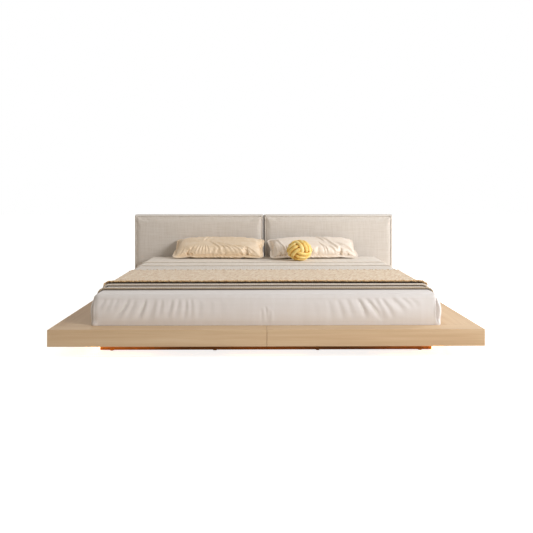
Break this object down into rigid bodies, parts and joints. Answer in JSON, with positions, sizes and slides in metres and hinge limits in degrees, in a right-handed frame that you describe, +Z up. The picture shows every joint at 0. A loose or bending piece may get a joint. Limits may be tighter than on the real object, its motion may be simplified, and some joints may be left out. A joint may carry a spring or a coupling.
{
  "type": "panel bed",
  "caption": "Low platform bed with wide ledges all round, a recessed plinth with a light line, a two-pad upholstered headboard, and its made-up mattress.",
  "frame": {"origin": "on the floor, under the middle of the bed's bounding box", "axes": "+X to the right seen from the foot, +Y from the foot towards the headboard, +Z up"},
  "size_m": [2.2, 2.26, 0.6619],
  "materials": {
    "ash_veneer": "satin",
    "plinth_walnut": "satin",
    "frame_pine": "matte",
    "slat_birch": "matte",
    "soffit_ply": "matte",
    "zinc_steel": "satin",
    "anodised_channel": "satin",
    "light_diffuser": "matte",
    "black_plastic": "matte",
    "linen_weave": "matte",
    "pad_foam": "matte",
    "mattress_ticking": "matte",
    "sheet_cotton": "matte",
    "blanket_wool": "matte",
    "coverlet_cotton": "matte",
    "top_sheet_cotton": "matte",
    "throw_knit": "matte",
    "sateen_tan": "satin",
    "sateen_peach": "satin",
    "knot_velvet": "matte"
  },
  "bodies": {
    "bed": {"centre_bearer_left": "frame_pine", "centre_bearer_right": "frame_pine", "centre_bolts": "zinc_steel", "foot_rail_left": "frame_pine", "foot_rail_right": "frame_pine", "front_fascia_left": "ash_veneer", "front_fascia_right": "ash_veneer", "front_ledge_left": "ash_veneer", "front_ledge_right": "ash_veneer", "head_rail_left": "frame_pine", "head_rail_right": "frame_pine", "headboard_bolts": "zinc_steel", "headboard_panel_left": "ash_veneer", "headboard_panel_right": "ash_veneer", "headboard_posts": "frame_pine", "ledge_ribs_left": "frame_pine", "ledge_ribs_right": "frame_pine", "light_channel": "anodised_channel", "light_driver": "black_plastic", "light_strip": "light_diffuser", "pad_board_left": "frame_pine", "pad_board_right": "frame_pine", "pad_cover_left": "linen_weave", "pad_cover_right": "linen_weave", "pad_foam_left": "pad_foam", "pad_foam_right": "pad_foam", "plinth_centre": "plinth_walnut", "plinth_front": "plinth_walnut", "plinth_glides": "black_plastic", "plinth_left": "plinth_walnut", "plinth_rear": "plinth_walnut", "plinth_right": "plinth_walnut", "rear_fascia_left": "ash_veneer", "rear_fascia_right": "ash_veneer", "rear_ledge_left": "ash_veneer", "rear_ledge_right": "ash_veneer", "side_bearer_left": "frame_pine", "side_bearer_right": "frame_pine", "side_fascia_left": "ash_veneer", "side_fascia_right": "ash_veneer", "side_ledge_left": "ash_veneer", "side_ledge_right": "ash_veneer", "side_rail_left": "frame_pine", "side_rail_right": "frame_pine", "slat_screws": "zinc_steel", "slats_left": "slat_birch", "slats_right": "slat_birch", "soffit_front": "soffit_ply", "soffit_left": "soffit_ply", "soffit_rear": "soffit_ply", "soffit_right": "soffit_ply"},
    "mattress": {"mattress": "mattress_ticking", "fitted_sheet": "sheet_cotton", "blanket": "blanket_wool", "coverlet": "coverlet_cotton", "top_sheet": "top_sheet_cotton", "throw": "throw_knit"},
    "pillow_left": {"pillow_left": "sateen_tan"},
    "pillow_right": {"pillow_right": "sateen_peach"},
    "knot_cushion": {"knot_cushion": "knot_velvet"}
  },
  "joints": [
    {"name": "mattress_lift", "type": "slide", "parent": "bed", "child": "mattress", "axis": [0, 0, 1], "range_m": [0, 0.6]},
    {"name": "pillow_left_lift", "type": "slide", "parent": "mattress", "child": "pillow_left", "axis": [0, 0, 1], "range_m": [0, 0.45]},
    {"name": "pillow_right_lift", "type": "slide", "parent": "mattress", "child": "pillow_right", "axis": [0, 0, 1], "range_m": [0, 0.45]},
    {"name": "knot_cushion_lift", "type": "slide", "parent": "mattress", "child": "knot_cushion", "axis": [0, 0, 1], "range_m": [0, 0.45]}
  ]
}
